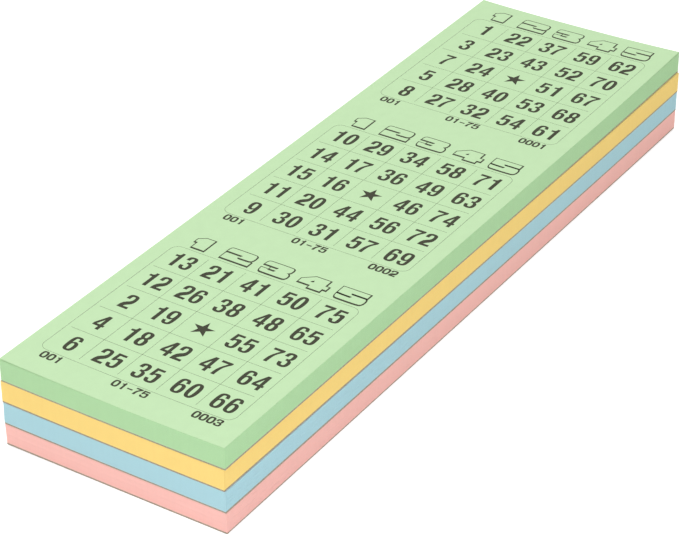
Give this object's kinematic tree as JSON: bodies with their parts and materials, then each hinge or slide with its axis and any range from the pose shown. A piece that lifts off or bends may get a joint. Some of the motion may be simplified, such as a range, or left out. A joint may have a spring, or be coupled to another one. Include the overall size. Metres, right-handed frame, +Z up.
{
  "type": "stack of tear-off game pads",
  "caption": "Stack of coloured tear-off pads of printed number-game strips; each pad is glued along its head to a grey board, and the top sheet turns over the glued head.",
  "frame": {"origin": "centre of the underside of the lowest pad, at the centre of the stack's box", "axes": "+X across the sheets, +Y along the sheets towards the glued head, +Z up through the stack; the top pad lies square to the axes"},
  "size_m": [0.086, 0.2976, 0.0322],
  "materials": {
    "green_paper": "matt uncoated",
    "yellow_paper": "matt uncoated",
    "blue_paper": "matt uncoated",
    "pink_paper": "matt uncoated",
    "greyboard": "matt, fibrous cut edge",
    "padding_glue": "clear, slightly glossy dried film",
    "print_ink": "matt offset ink"
  },
  "bodies": {
    "pink_pad": {"pink_top_sheet": "pink_paper", "pink_sheets_first_quarter": "pink_paper", "pink_sheets_second_quarter": "pink_paper", "pink_sheets_third_quarter": "pink_paper", "pink_sheets_last_quarter": "pink_paper", "pink_backing_board": "greyboard", "pink_glue_binding": "padding_glue"},
    "blue_pad": {"blue_top_sheet": "blue_paper", "blue_sheets_first_quarter": "blue_paper", "blue_sheets_second_quarter": "blue_paper", "blue_sheets_third_quarter": "blue_paper", "blue_sheets_last_quarter": "blue_paper", "blue_backing_board": "greyboard", "blue_glue_binding": "padding_glue"},
    "yellow_pad": {"yellow_top_sheet": "yellow_paper", "yellow_sheets_first_quarter": "yellow_paper", "yellow_sheets_second_quarter": "yellow_paper", "yellow_sheets_third_quarter": "yellow_paper", "yellow_sheets_last_quarter": "yellow_paper", "yellow_backing_board": "greyboard", "yellow_glue_binding": "padding_glue"},
    "green_pad": {"green_sheets_first_quarter": "green_paper", "green_sheets_second_quarter": "green_paper", "green_sheets_third_quarter": "green_paper", "green_sheets_last_quarter": "green_paper", "green_backing_board": "greyboard", "green_glue_binding": "padding_glue"},
    "green_top_leaf": {"green_top_sheet": "green_paper"}
  },
  "joints": [
    {"name": "blue_pad_lift", "type": "slide", "parent": "pink_pad", "child": "blue_pad", "axis": [0, 0, 1], "range_m": [0, 0.1]},
    {"name": "yellow_pad_lift", "type": "slide", "parent": "blue_pad", "child": "yellow_pad", "axis": [0, 0, 1], "range_m": [0, 0.1]},
    {"name": "green_pad_lift", "type": "slide", "parent": "yellow_pad", "child": "green_pad", "axis": [0, 0, 1], "range_m": [0, 0.1]},
    {"name": "green_top_sheet_turn", "type": "hinge", "parent": "green_pad", "child": "green_top_leaf", "pos_m": [0, 0.14835, 0.03217], "axis": [-1, 0, 0], "range_deg": [0, 175]}
  ]
}
